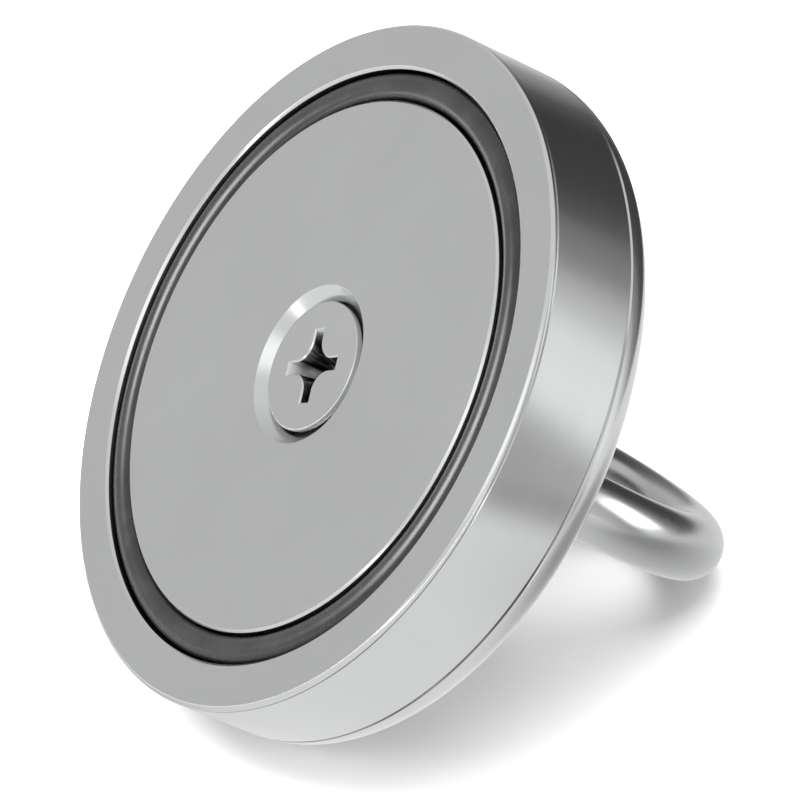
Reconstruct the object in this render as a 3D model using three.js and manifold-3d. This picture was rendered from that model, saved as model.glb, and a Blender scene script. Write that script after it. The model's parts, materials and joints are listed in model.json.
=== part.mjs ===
// Single-sided magnet fishing magnet: a steel pot with a clamped magnet stack and a lifting eye.
// Millimetres, +Z up. It lies as it rests on a table, on the round back edge of the pot and the tip of the eye.
//
// Every piece is drawn in the pot's own frame first: the holding face is the plane z = 0, the screw axis is z,
// and z grows from the holding face towards the eye. One group then leans the whole assembly on the table.
import * as THREE from 'three';
import { mergeVertices } from 'three/addons/utils/BufferGeometryUtils.js';
import Module from 'manifold-3d';

// ---- Driving dimensions ----

// Steel pot
const POT_RADIUS = 45;
const POT_HEIGHT = 18;
const POT_WALL = 6;
const POT_FLOOR = 5.5;
const POT_BACK_ROUND = 4.8;
const POT_FRONT_CHAMFER = 0.45;
const POT_MOUTH_CHAMFER = 0.3;

// Pole plate, flush in the mouth of the pot
const PLATE_RECESS = 0.2;
const PLATE_CHAMFER = 0.3;
const PLATE_BORE_LAND = 0.5;
const COUNTERSINK_MARGIN = 1.9;

// Black ring that fills the gap round the plate and the magnets
const GAP_WIDTH = 4.1;
const GAP_RING_CROWN = 1.1;
const GAP_RING_RECESS = 0.15;

// Magnet ring, made of arc segments
const SEGMENT_COUNT = 6;
const SLEEVE_WALL = 2;

// Countersunk screw with a cross recess, M10 with a 1.5 mm pitch
const SCREW_RADIUS = 5;
const SCREW_HEAD_RADIUS = 8.5;
const SCREW_HEAD_RECESS = 0.6;
const SCREW_TIP_CHAMFER = 0.8;
const SCREW_TIP_SETBACK = 0.4;

// Cross recess in the screw head: two tapered slots and a pointed core
const RECESS_SPAN = 9.9;
const RECESS_FOOT_SPAN = 4.2;
const RECESS_SLOT_WIDTH = 2.2;
const RECESS_DEPTH = 4;
const RECESS_CORE_RADIUS = 2;
const RECESS_CORE_FOOT = 1.3;
const RECESS_CORE_POINT = 0.8;
const RECESS_TURN = THREE.MathUtils.degToRad(-27.5);

// Washers under the eye nut
const WASHER_WIDTH = 4.7;
const WASHER_THICKNESS = 2;
const WASHER_CHAMFER = 0.3;
const SPRING_WASHER_WIDTH = 3.7;
const SPRING_WASHER_THICKNESS = 2.2;
const SPRING_WASHER_SPLIT = 1.6;

// Eye nut
const EYE_WIRE_RADIUS = 4.35;
const EYE_INNER_RADIUS = 12.5;
const EYE_LIFT = 0.5;
const COLLAR_WALL = 5.7;
const COLLAR_RIM = 3.2;
const COLLAR_CHAMFER = 0.5;
const NECK_WALL = 1.9;
const NECK_FILLET = 2.9;
const NECK_CHAMFER = 0.6;

// Clearances
const CLEARANCE = 0.3;
const CUT_OVERRUN = 1;
const WELD_DISTANCE = 1e-4;

// Facets round a full circle
const POT_FACETS = 96;
const SCREW_FACETS = 48;
const WIRE_FACETS = 20;
const EYE_FACETS = 64;
const ROUND_STEPS = 8;
const FILLET_STEPS = 4;
const SEGMENT_STEPS = 10;

// ---- Sizes that follow ----

const pocketRadius = POT_RADIUS - POT_WALL;
const pocketDepth = POT_HEIGHT - POT_FLOOR;
const plateRadius = pocketRadius - GAP_WIDTH;
const boreRadius = SCREW_RADIUS + CLEARANCE;
const countersinkRadius = SCREW_HEAD_RADIUS + COUNTERSINK_MARGIN;
const countersinkDepth = countersinkRadius - boreRadius;
const plateBack = PLATE_RECESS + countersinkDepth + PLATE_BORE_LAND;
const stackFront = plateBack + CLEARANCE;
const stackBack = pocketDepth - CLEARANCE;
const sleeveRadius = boreRadius + SLEEVE_WALL;
const washerFront = POT_HEIGHT + CLEARANCE;
const washerBack = washerFront + WASHER_THICKNESS;
const springWasherFront = washerBack + CLEARANCE;
const springWasherBack = springWasherFront + SPRING_WASHER_THICKNESS;
const collarFront = springWasherBack + CLEARANCE;
const eyeRadius = EYE_INNER_RADIUS + EYE_WIRE_RADIUS;
const eyeCentre = collarFront + EYE_LIFT + EYE_WIRE_RADIUS + eyeRadius;
const eyeTip = eyeCentre + eyeRadius + EYE_WIRE_RADIUS;
const neckBack = eyeCentre - EYE_INNER_RADIUS;

// ---- Materials ----

function finish(color, roughness, metalness) {
  return new THREE.MeshStandardMaterial({ color, roughness, metalness });
}

const platedSteel = () => finish(0xc9cbcd, 0.22, 1.0);
const platedPlate = () => finish(0xbfc1c3, 0.3, 1.0);
const chromedEye = () => finish(0xc4c5c7, 0.12, 1.0);
const zincSteel = () => finish(0xb4b6b8, 0.35, 1.0);
const blackRubber = () => finish(0x202122, 0.45, 0.0);
const sinteredMagnet = () => finish(0x8d8f92, 0.4, 0.9);
const brass = () => finish(0xb5954f, 0.35, 1.0);

// ---- Shape tools ----

const wasm = await Module();
wasm.setup();

// A closed geometry as a solid that can be joined and cut.
function solidFrom(geometry) {
  const bare = geometry.index ? geometry.toNonIndexed() : geometry.clone();
  bare.deleteAttribute('normal');
  bare.deleteAttribute('uv');
  const merged = mergeVertices(bare, WELD_DISTANCE);
  const vertProperties = new Float32Array(merged.attributes.position.array);
  const triVerts = new Uint32Array(merged.index.array);
  return new wasm.Manifold(new wasm.Mesh({ numProp: 3, vertProperties, triVerts }));
}

function geometryFrom(solid) {
  const mesh = solid.getMesh();
  const geometry = new THREE.BufferGeometry();
  geometry.setAttribute('position', new THREE.BufferAttribute(new Float32Array(mesh.vertProperties), 3));
  geometry.setIndex(new THREE.BufferAttribute(new Uint32Array(mesh.triVerts), 1));
  geometry.computeVertexNormals();
  return geometry;
}

// A turned piece: outline is a list of [radius, z], running so that the material is on its left.
function turned(outline, facets) {
  const points = outline.map(([radius, z]) => new THREE.Vector2(radius, z));
  const geometry = new THREE.LatheGeometry(points, facets);
  geometry.rotateX(Math.PI / 2);
  return geometry;
}

// Points on a round, from one angle to another, in the outline's own plane.
function round(radius, z, size, from, to, steps) {
  const points = [];
  for (let step = 0; step <= steps; step += 1) {
    const angle = from + ((to - from) * step) / steps;
    points.push([radius + size * Math.cos(angle), z + size * Math.sin(angle)]);
  }
  return points;
}

// A flat ring sector standing on z = 0, with end faces that stay half a gap from the sector's bounds.
function ringSector(inner, outer, halfAngle, gap, thickness, steps) {
  const innerHalf = halfAngle - Math.asin(gap / 2 / inner);
  const outerHalf = halfAngle - Math.asin(gap / 2 / outer);
  const shape = new THREE.Shape();
  shape.absarc(0, 0, outer, -outerHalf, outerHalf, false);
  shape.absarc(0, 0, inner, innerHalf, -innerHalf, true);
  shape.closePath();
  return new THREE.ExtrudeGeometry(shape, { depth: thickness, bevelEnabled: false, curveSegments: steps });
}

function piece(name, geometry, material) {
  const mesh = new THREE.Mesh(geometry, material);
  mesh.name = name;
  return mesh;
}

// ---- Pieces ----

function steelPot() {
  const backCorner = round(
    POT_RADIUS - POT_BACK_ROUND, POT_HEIGHT - POT_BACK_ROUND, POT_BACK_ROUND, 0, Math.PI / 2, ROUND_STEPS,
  );
  const mouth = [pocketRadius + POT_MOUTH_CHAMFER, 0];
  return turned([
    mouth,
    [POT_RADIUS - POT_FRONT_CHAMFER, 0],
    [POT_RADIUS, POT_FRONT_CHAMFER],
    ...backCorner,
    [boreRadius, POT_HEIGHT],
    [boreRadius, pocketDepth],
    [pocketRadius, pocketDepth],
    [pocketRadius, POT_MOUTH_CHAMFER],
    mouth,
  ], POT_FACETS);
}

function polePlate() {
  const countersinkEdge = [countersinkRadius, PLATE_RECESS];
  return turned([
    countersinkEdge,
    [plateRadius - PLATE_CHAMFER, PLATE_RECESS],
    [plateRadius, PLATE_RECESS + PLATE_CHAMFER],
    [plateRadius, plateBack],
    [boreRadius, plateBack],
    [boreRadius, plateBack - PLATE_BORE_LAND],
    countersinkEdge,
  ], POT_FACETS);
}

// The ring fills the gap from the pot floor to just under the holding face, where it is crowned.
function gapRing() {
  const inner = plateRadius + CLEARANCE;
  const outer = pocketRadius - CLEARANCE;
  const middle = (inner + outer) / 2;
  const half = (outer - inner) / 2;
  const shoulder = GAP_RING_RECESS + GAP_RING_CROWN;
  const crown = round(0, 0, 1, Math.PI, 2 * Math.PI, ROUND_STEPS)
    .map(([across, down]) => [middle + half * across, shoulder + GAP_RING_CROWN * down]);
  return turned([
    ...crown,
    [outer, pocketDepth - CLEARANCE],
    [inner, pocketDepth - CLEARANCE],
    crown[0],
  ], POT_FACETS);
}

function magnetSegment(index) {
  const halfAngle = Math.PI / SEGMENT_COUNT;
  const geometry = ringSector(
    sleeveRadius + CLEARANCE, plateRadius, halfAngle, CLEARANCE, stackBack - stackFront, SEGMENT_STEPS,
  );
  geometry.rotateZ(2 * halfAngle * index);
  geometry.translate(0, 0, stackFront);
  return geometry;
}

function spacerSleeve() {
  return turned([
    [boreRadius, stackFront],
    [sleeveRadius, stackFront],
    [sleeveRadius, stackBack],
    [boreRadius, stackBack],
    [boreRadius, stackFront],
  ], SCREW_FACETS);
}

// One slot of the cross recess, cut from the head's face towards the shank.
function recessSlot(turn) {
  const shape = new THREE.Shape();
  shape.moveTo(-RECESS_SPAN / 2, -CUT_OVERRUN);
  shape.lineTo(RECESS_SPAN / 2, -CUT_OVERRUN);
  shape.lineTo(RECESS_SPAN / 2, 0);
  shape.lineTo(RECESS_FOOT_SPAN / 2, RECESS_DEPTH);
  shape.lineTo(-RECESS_FOOT_SPAN / 2, RECESS_DEPTH);
  shape.lineTo(-RECESS_SPAN / 2, 0);
  shape.closePath();
  const geometry = new THREE.ExtrudeGeometry(shape, { depth: RECESS_SLOT_WIDTH, bevelEnabled: false });
  geometry.translate(0, 0, -RECESS_SLOT_WIDTH / 2);
  geometry.rotateX(Math.PI / 2);
  geometry.rotateZ(turn);
  return geometry;
}

function recessCore() {
  return turned([
    [0, -CUT_OVERRUN],
    [RECESS_CORE_RADIUS, -CUT_OVERRUN],
    [RECESS_CORE_RADIUS, 0],
    [RECESS_CORE_FOOT, RECESS_DEPTH],
    [0, RECESS_DEPTH + RECESS_CORE_POINT],
  ], SCREW_FACETS / 2);
}

// The head's cone lies one clearance off the countersink, measured square to the cone.
function countersunkScrew() {
  const face = PLATE_RECESS + SCREW_HEAD_RECESS;
  const coneReach = PLATE_RECESS + countersinkRadius - CLEARANCE * Math.SQRT2;
  const tip = neckBack - SCREW_TIP_SETBACK;
  const blank = turned([
    [0, face],
    [SCREW_HEAD_RADIUS, face],
    [SCREW_HEAD_RADIUS, coneReach - SCREW_HEAD_RADIUS],
    [SCREW_RADIUS, coneReach - SCREW_RADIUS],
    [SCREW_RADIUS, tip - SCREW_TIP_CHAMFER],
    [SCREW_RADIUS - SCREW_TIP_CHAMFER, tip],
    [0, tip],
  ], SCREW_FACETS);
  let solid = solidFrom(blank);
  for (const cutter of [recessCore(), recessSlot(RECESS_TURN), recessSlot(RECESS_TURN + Math.PI / 2)]) {
    cutter.translate(0, 0, face);
    solid = solid.subtract(solidFrom(cutter));
  }
  return geometryFrom(solid);
}

function flatWasher() {
  const outer = boreRadius + WASHER_WIDTH;
  return turned([
    [boreRadius, washerFront],
    [outer, washerFront],
    [outer, washerBack - WASHER_CHAMFER],
    [outer - WASHER_CHAMFER, washerBack],
    [boreRadius, washerBack],
    [boreRadius, washerFront],
  ], SCREW_FACETS);
}

// The split ring is drawn pressed flat, as it is under the tight eye nut.
function springWasher() {
  const outer = boreRadius + SPRING_WASHER_WIDTH;
  const geometry = ringSector(
    boreRadius, outer, Math.PI, SPRING_WASHER_SPLIT, SPRING_WASHER_THICKNESS, SCREW_FACETS,
  );
  geometry.translate(0, 0, springWasherFront);
  return geometry;
}

// A round-wire ring grown onto a turned collar, with the screw's hole running through both.
function eyeNut() {
  const collarRadius = boreRadius + COLLAR_WALL;
  const neckRadius = boreRadius + NECK_WALL;
  const collarBack = collarFront + COLLAR_RIM;
  const fillet = Math.min(NECK_FILLET, collarRadius - COLLAR_CHAMFER - neckRadius);
  const ring = new THREE.TorusGeometry(eyeRadius, EYE_WIRE_RADIUS, WIRE_FACETS, EYE_FACETS);
  ring.rotateX(Math.PI / 2);
  ring.translate(0, 0, eyeCentre);
  const collar = turned([
    [0, collarFront],
    [collarRadius - COLLAR_CHAMFER, collarFront],
    [collarRadius, collarFront + COLLAR_CHAMFER],
    [collarRadius, collarBack - COLLAR_CHAMFER],
    [collarRadius - COLLAR_CHAMFER, collarBack],
    ...round(neckRadius + fillet, collarBack + fillet, fillet, 1.5 * Math.PI, Math.PI, FILLET_STEPS),
    [neckRadius, neckBack - NECK_CHAMFER],
    [neckRadius - NECK_CHAMFER, neckBack],
    [0, neckBack],
  ], SCREW_FACETS);
  const holeLength = neckBack - collarFront + 2 * CUT_OVERRUN;
  const hole = new THREE.CylinderGeometry(boreRadius, boreRadius, holeLength, SCREW_FACETS);
  hole.rotateX(Math.PI / 2);
  hole.translate(0, 0, (neckBack + collarFront) / 2);
  return geometryFrom(solidFrom(ring).add(solidFrom(collar)).subtract(solidFrom(hole)));
}

// ---- Assembly ----

const assembly = new THREE.Group();
assembly.add(piece('steel_pot', steelPot(), platedSteel()));
assembly.add(piece('pole_plate', polePlate(), platedPlate()));
assembly.add(piece('gap_ring', gapRing(), blackRubber()));
for (let index = 0; index < SEGMENT_COUNT; index += 1) {
  assembly.add(piece(`magnet_segment_${index + 1}`, magnetSegment(index), sinteredMagnet()));
}
assembly.add(piece('spacer_sleeve', spacerSleeve(), brass()));
assembly.add(piece('countersunk_screw', countersunkScrew(), platedPlate()));
assembly.add(piece('flat_washer', flatWasher(), zincSteel()));
assembly.add(piece('spring_washer', springWasher(), zincSteel()));
assembly.add(piece('eye_nut', eyeNut(), chromedEye()));

// The lean at which the pot's round back edge and the tip of the eye touch the same table.
function restingLean() {
  const edgeOffset = POT_RADIUS - POT_BACK_ROUND;
  const spanAlongAxis = eyeTip - EYE_WIRE_RADIUS - (POT_HEIGHT - POT_BACK_ROUND);
  const roundDifference = EYE_WIRE_RADIUS - POT_BACK_ROUND;
  const span = Math.hypot(edgeOffset, spanAlongAxis);
  return Math.acos(roundDifference / span) - Math.atan2(spanAlongAxis, edgeOffset);
}

const part = new THREE.Group();
part.add(assembly);
assembly.rotation.x = -(Math.PI / 2 + restingLean());
const bounds = new THREE.Box3().setFromObject(part, true);
const centre = bounds.getCenter(new THREE.Vector3());
assembly.position.set(-centre.x, -centre.y, -bounds.min.z);

export default part;
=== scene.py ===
"""Looks for a single-sided magnet fishing magnet: a plated pot magnet lying on its back edge and its eye.

Every piece is drawn in the pot's own frame: the holding face is z = 0, the screw axis is z, and z grows
towards the eye. That frame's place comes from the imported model's screw joint. Lengths are in metres.
"""

import json
import math

import bmesh
import bpy
import numpy as np
from mathutils import Matrix, Vector


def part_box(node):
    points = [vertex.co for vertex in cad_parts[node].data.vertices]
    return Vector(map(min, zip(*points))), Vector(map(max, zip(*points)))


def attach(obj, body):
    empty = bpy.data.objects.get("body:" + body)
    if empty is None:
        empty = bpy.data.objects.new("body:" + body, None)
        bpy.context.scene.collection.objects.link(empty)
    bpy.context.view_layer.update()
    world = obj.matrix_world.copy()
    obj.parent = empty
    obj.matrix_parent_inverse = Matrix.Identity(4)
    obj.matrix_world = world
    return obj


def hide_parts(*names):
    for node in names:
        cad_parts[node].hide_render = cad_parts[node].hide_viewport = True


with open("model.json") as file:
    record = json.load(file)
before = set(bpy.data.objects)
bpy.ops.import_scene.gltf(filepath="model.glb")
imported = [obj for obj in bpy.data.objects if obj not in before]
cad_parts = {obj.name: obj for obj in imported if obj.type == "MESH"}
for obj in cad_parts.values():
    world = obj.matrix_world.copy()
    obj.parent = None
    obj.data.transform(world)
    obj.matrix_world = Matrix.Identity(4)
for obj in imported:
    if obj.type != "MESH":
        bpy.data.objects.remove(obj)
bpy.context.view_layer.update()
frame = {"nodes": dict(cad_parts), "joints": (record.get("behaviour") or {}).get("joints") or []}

MM = 0.001

# ---- Fine shape, in metres. The main sizes are read from the CAD nodes. ----
INSET = 0.02 * MM
POT_WALL = 6.0 * MM
POT_FLOOR = 5.5 * MM
POT_BACK_ROUND = 4.8 * MM
POT_FRONT_CHAMFER = 0.45 * MM
POT_MOUTH_CHAMFER = 0.35 * MM
LIP_ROUND = 0.5 * MM
LIP_SPACE = 0.288 * MM
LIP_GROOVE_WIDTH = 0.34 * MM
LIP_GROOVE_STEEP = 0.136 * MM
LIP_GROOVE_DEPTH = 0.07 * MM
BACK_GROOVE_WIDTH = 0.5 * MM
BACK_GROOVE_DEPTH = 0.13 * MM
BACK_FLAT_EDGE = 1.0 * MM
SMALL_ROUND = 0.12 * MM
PLATE_CHAMFER = 0.3 * MM
PLATE_BORE_LAND = 0.5 * MM
COUNTERSINK_ROUND = 0.072 * MM
RING_CROWN = 1.1 * MM
SCREW_HEAD_CHAMFER = 0.25 * MM
THREAD_PITCH = 1.5 * MM
THREAD_DEPTH = 0.92 * MM
THREAD_CREST = 0.125
THREAD_FOOT = 0.25
THREAD_START = 9.0 * MM
THREAD_RUN_OUT = 1.5 * MM
THREAD_STEP = 0.125 * MM
SCREW_TIP_CHAMFER = 0.9 * MM
WASHER_ROUND = 0.25 * MM
SPRING_WASHER_ROUND = 0.2 * MM
SPRING_WASHER_SPLIT = 1.6 * MM
EYE_WIRE_RADIUS = 4.35 * MM
COLLAR_RIM = 3.2 * MM
COLLAR_RADIUS = 11.0 * MM
COLLAR_ROUND = 0.5 * MM
NECK_WALL = 1.9 * MM
NECK_ROUND = 0.7 * MM
NECK_FLARE = 0.6 * MM
NECK_FLARE_HEIGHT = 1.0 * MM
NECK_SINK = 1.0 * MM
HUB_BLEND = 2.2 * MM
RING_BLEND = 1.6 * MM
HOLE_BLEND = 0.35 * MM
HOLE_OVERRUN = 2.0 * MM
GRADIENT_REACH = 0.002 * MM
CLEARANCE = 0.3 * MM

# Cross recess, level by level: depth, half span, half width of a wing, round of the inner corners
RECESS_LEVELS = [
    (-0.3 * MM, 5.25 * MM, 1.28 * MM, 2.15 * MM),
    (0.0, 4.95 * MM, 0.98 * MM, 2.45 * MM),
    (0.18 * MM, 4.77 * MM, 0.80 * MM, 2.6 * MM),
    (4.0 * MM, 2.2 * MM, 0.50 * MM, 1.6 * MM),
]
RECESS_POINT = 0.8 * MM
RECESS_REACH = 5.2 * MM
RECESS_TURN = math.radians(-27.5)

# ---- Fineness of the meshes: steps of a turn, a round or an arc. An edge above its angle is hard. ----
TURNED_STEPS = 288
SCREW_STEPS = 96
HOLE_STEPS = 96
WASHER_STEPS = 160
SPRING_WASHER_STEPS = 150
CROWN_STEPS = 24
BACK_ROUND_STEPS = 24
ROUND_STEPS = 6
CORNER_STEPS = 10
TORUS_STEPS = 160
TORUS_SECTION_STEPS = 48
EYE_VOXEL = 0.36 * MM
EYE_FITTING_ROUNDS = 12
FITTING_STEP = 0.9
LEAST_SLOPE = 0.25
POT_SHARP_DEG = 16
SCREW_SHARP_DEG = 32
EYE_SHARP_DEG = 180
HUB_SHARP_DEG = 30
WELD_DISTANCE = 1e-7


# ---- The pot's own frame ----

def joint(name):
    return next(j for j in frame["joints"] if j["name"] == name)


def pot_frame():
    """Matrix from the pot's own frame to the row frame."""
    origin = Vector(joint("screw_turn")["pos_m"])
    back = -Vector(joint("screw_turn")["axis"]).normalized()
    across = Vector((1, 0, 0))
    side = back.cross(across)
    matrix = Matrix((across, side, back)).transposed().to_4x4()
    matrix.translation = origin
    return matrix


LOCAL = pot_frame()


def spans(node):
    """Least and greatest radius and z of a CAD node's corners, in the pot's own frame."""
    inverse = LOCAL.inverted()
    points = np.array([inverse @ v.co for v in frame["nodes"][node].data.vertices])
    radius = np.hypot(points[:, 0], points[:, 1])
    return radius.min(), radius.max(), points[:, 2].min(), points[:, 2].max()


BORE_RADIUS, POT_RADIUS, POT_FRONT, POT_BACK = spans("steel_pot")
_, PLATE_RADIUS, PLATE_FRONT, PLATE_BACK = spans("pole_plate")
RING_INNER, RING_OUTER, RING_FRONT, RING_BACK = spans("gap_ring")
_, HEAD_RADIUS, HEAD_FACE, SCREW_TIP = spans("countersunk_screw")
_, WASHER_RADIUS, WASHER_FRONT, WASHER_BACK = spans("flat_washer")
_, SPRING_RADIUS, SPRING_FRONT, SPRING_BACK = spans("spring_washer")
_, _, COLLAR_FRONT, EYE_TIP = spans("eye_nut")
SCREW_RADIUS = BORE_RADIUS - CLEARANCE
EYE_HALF_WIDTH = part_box("eye_nut")[1].x
EYE_RADIUS = EYE_HALF_WIDTH - EYE_WIRE_RADIUS - INSET
EYE_CENTRE = EYE_TIP - EYE_HALF_WIDTH
NECK_RADIUS = BORE_RADIUS + NECK_WALL
NECK_BACK = EYE_CENTRE - EYE_RADIUS + EYE_WIRE_RADIUS
POT_RADIUS -= INSET / 2
POCKET_RADIUS = POT_RADIUS - POT_WALL
POCKET_FLOOR = POT_BACK - POT_FLOOR
WALL_END = POT_BACK - POT_BACK_ROUND
COUNTERSINK_RADIUS = BORE_RADIUS + (PLATE_BACK - PLATE_BORE_LAND - PLATE_FRONT)


# ---- Mesh tools ----

def rounded(corners, closed=True):
    """A polyline of (radius, z, round) corners, each round drawn as an arc. Returns (radius, z) points."""
    points = []
    count = len(corners)
    for index, (radius, z, size) in enumerate(corners):
        here = Vector((radius, z))
        open_end = not closed and index in (0, count - 1)
        if size <= 0 or open_end:
            points.append((radius, z))
            continue
        before = (Vector(corners[index - 1][:2]) - here).normalized()
        after = (Vector(corners[(index + 1) % count][:2]) - here).normalized()
        half = before.angle(after) / 2
        reach = size / math.tan(half)
        centre = here + (before + after).normalized() * (size / math.sin(half))
        first = here + before * reach - centre
        last = here + after * reach - centre
        sweep = first.angle_signed(last)
        for step in range(ROUND_STEPS + 1):
            angle = -sweep * step / ROUND_STEPS
            spoke = Matrix.Rotation(angle, 2) @ first
            points.append(tuple(centre + spoke))
    return points


def arc(radius, z, size, start, end, steps):
    """(radius, z) points on an arc about a centre, from one angle to another."""
    return [
        (radius + size * math.cos(start + (end - start) * k / steps),
         z + size * math.sin(start + (end - start) * k / steps))
        for k in range(steps + 1)
    ]


def finish_mesh(mesh, sharp_deg):
    """Smooth shading with hard edges where two faces turn by more than an angle."""
    work = bmesh.new()
    work.from_mesh(mesh)
    bmesh.ops.remove_doubles(work, verts=work.verts, dist=WELD_DISTANCE)
    bmesh.ops.recalc_face_normals(work, faces=work.faces)
    for face in work.faces:
        face.smooth = True
    for edge in work.edges:
        if len(edge.link_faces) == 2:
            edge.smooth = edge.calc_face_angle(0) < math.radians(sharp_deg)
    work.to_mesh(mesh)
    work.free()
    mesh.update()


def piece(name, mesh, body, material, replaced, sharp_deg=28):
    """Moves a mesh drawn in the pot's own frame to the row frame and ties it to its body."""
    finish_mesh(mesh, sharp_deg)
    mesh.transform(LOCAL)
    obj = bpy.data.objects.new(name, mesh)
    bpy.context.scene.collection.objects.link(obj)
    mesh.materials.append(material)
    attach(obj, body)
    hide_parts(*replaced)
    return obj


def even_shading(obj):
    """Keeps flat faces flat in the shading, next to small rounds."""
    even = obj.modifiers.new("even_shading", "WEIGHTED_NORMAL")
    even.mode = "FACE_AREA"
    even.keep_sharp = True
    return obj


def turned(name, outline, steps=TURNED_STEPS):
    """A body of revolution from a closed outline of (radius, z) points."""
    mesh = bpy.data.meshes.new(name)
    work = bmesh.new()
    columns = []
    axis_points = {}
    for step in range(steps):
        angle = 2 * math.pi * step / steps
        column = []
        for index, (radius, z) in enumerate(outline):
            if radius < WELD_DISTANCE:
                if index not in axis_points:
                    axis_points[index] = work.verts.new((0, 0, z))
                column.append(axis_points[index])
            else:
                column.append(work.verts.new((radius * math.cos(angle), radius * math.sin(angle), z)))
        columns.append(column)
    count = len(outline)
    for step in range(steps):
        here = columns[step]
        there = columns[(step + 1) % steps]
        for index in range(count):
            following = (index + 1) % count
            corners = [here[index], there[index], there[following], here[following]]
            distinct = list(dict.fromkeys(corners))
            if len(distinct) > 2:
                work.faces.new(distinct)
    work.to_mesh(mesh)
    work.free()
    return mesh


# ---- Material tools ----

# A noise's value lies mostly between these two
NOISE_LOW = 0.3
NOISE_HIGH = 0.7

# Scales of the noises, in waves per metre
TURNED_GRAIN = 5200.0
TURNED_WAVES = 900.0
CLOUDS = 42.0
SPECKS = 2600.0
GRIT = 1100.0
HAIRS = 2300.0
# The next two give the painted shade in the screw's recess and in the pot's grooves its patches
RECESS_SHADE_PATCHES = 900.0
GROOVE_SHADE_PATCHES = 60.0
RUBBER_DUST = 160.0
RUBBER_SKIN = 5200.0
SINTER_GRAIN = 2400.0
SINTER_CLOUDS = 120.0

# Heights of the small relief
FINE_RELIEF = 0.004 * MM
WAVE_RELIEF = 0.012 * MM
GRIT_RELIEF = 0.02 * MM
RUBBER_RELIEF = 0.01 * MM

# Colours of painted shade: in the screw's recess, then in the pot's grooves
RECESS_SHADE = (0.12, 0.12, 0.12, 1)
GROOVE_SHADE = (0.06, 0.06, 0.06, 1)

# Painted shade in the recess: its depths below the head's face, and the width of its soft outer edge
RECESS_SHADE_START = 0.15 * MM
RECESS_SHADE_FULL = 1.6 * MM
RECESS_SHADE_EDGE = 0.3 * MM

# Painted shade in the grooves: its depths below the wall, where along the wall it starts, and its soft edge
GROOVE_SHADE_START = 0.02 * MM
GROOVE_SHADE_END = 0.2 * MM
GROOVE_SHADE_FRONT = 0.5 * MM
GROOVE_SHADE_EDGE = 0.1 * MM

# Between these y in the pot's own frame the painted shade in the grooves goes from faint to deep
FAINT_SHADE_SIDE = -8.0 * MM
DEEP_SHADE_SIDE = 4.0 * MM


class Nodes:
    """A material's node tree with short calls for the nodes used here."""

    def __init__(self, name):
        self.material = bpy.data.materials.new(name)
        self.material.use_nodes = True
        self.tree = self.material.node_tree
        self.shader = self.tree.nodes["Principled BSDF"]
        coordinates = self.tree.nodes.new("ShaderNodeTexCoord")
        own_frame = self.tree.nodes.new("ShaderNodeMapping")
        own_frame.vector_type = "TEXTURE"
        own_frame.inputs["Location"].default_value = LOCAL.translation
        own_frame.inputs["Rotation"].default_value = LOCAL.to_euler()
        self.link(coordinates.outputs["Object"], own_frame.inputs["Vector"])
        self.place = own_frame.outputs["Vector"]

    def set(self, **values):
        for key, value in values.items():
            self.shader.inputs[key.replace("_", " ")].default_value = value

    def link(self, source, target):
        self.tree.links.new(source, target)

    def vector(self, operation, a, b=None):
        node = self.tree.nodes.new("ShaderNodeVectorMath")
        node.operation = operation
        self.link(a, node.inputs[0])
        if b is not None:
            node.inputs[1].default_value = b
        return node.outputs["Value"] if operation == "LENGTH" else node.outputs["Vector"]

    def math(self, operation, a, b=0.0):
        node = self.tree.nodes.new("ShaderNodeMath")
        node.operation = operation
        for socket, value in zip(node.inputs, (a, b)):
            if isinstance(value, (int, float)):
                socket.default_value = value
            else:
                self.link(value, socket)
        return node.outputs[0]

    def combine(self, x, y, z):
        node = self.tree.nodes.new("ShaderNodeCombineXYZ")
        for socket, value in zip(node.inputs, (x, y, z)):
            if isinstance(value, (int, float)):
                socket.default_value = value
            else:
                self.link(value, socket)
        return node.outputs[0]

    def noise(self, place, scale, detail=2.0, rough=0.5):
        node = self.tree.nodes.new("ShaderNodeTexNoise")
        self.link(place, node.inputs["Vector"])
        node.inputs["Scale"].default_value = scale
        node.inputs["Detail"].default_value = detail
        node.inputs["Roughness"].default_value = rough
        return node.outputs["Fac"]

    def span(self, value, low, high, out_low, out_high):
        node = self.tree.nodes.new("ShaderNodeMapRange")
        self.link(value, node.inputs["Value"])
        node.inputs["From Min"].default_value = low
        node.inputs["From Max"].default_value = high
        node.inputs["To Min"].default_value = out_low
        node.inputs["To Max"].default_value = out_high
        return node.outputs["Result"]

    def grey_ramp(self, value, dark, light):
        node = self.tree.nodes.new("ShaderNodeValToRGB")
        self.link(value, node.inputs["Fac"])
        node.color_ramp.elements[0].position = NOISE_LOW
        node.color_ramp.elements[0].color = (*dark, 1)
        node.color_ramp.elements[1].position = NOISE_HIGH
        node.color_ramp.elements[1].color = (*light, 1)
        return node.outputs["Color"]

    def bump(self, height, strength, distance, under=None):
        node = self.tree.nodes.new("ShaderNodeBump")
        self.link(height, node.inputs["Height"])
        node.inputs["Strength"].default_value = strength
        node.inputs["Distance"].default_value = distance
        if under is not None:
            self.link(under, node.inputs["Normal"])
        return node.outputs["Normal"]

    def turning_place(self, along):
        """(radius, z, angle) coordinates, so that a noise becomes fine lines round the axis."""
        flat = self.vector("MULTIPLY", self.place, (1, 1, 0))
        radius = self.vector("LENGTH", flat)
        split = self.tree.nodes.new("ShaderNodeSeparateXYZ")
        self.link(self.place, split.inputs[0])
        around = self.math("ARCTAN2", split.outputs["Y"], split.outputs["X"])
        return self.combine(radius, split.outputs["Z"], self.math("MULTIPLY", around, along * MM))


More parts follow.
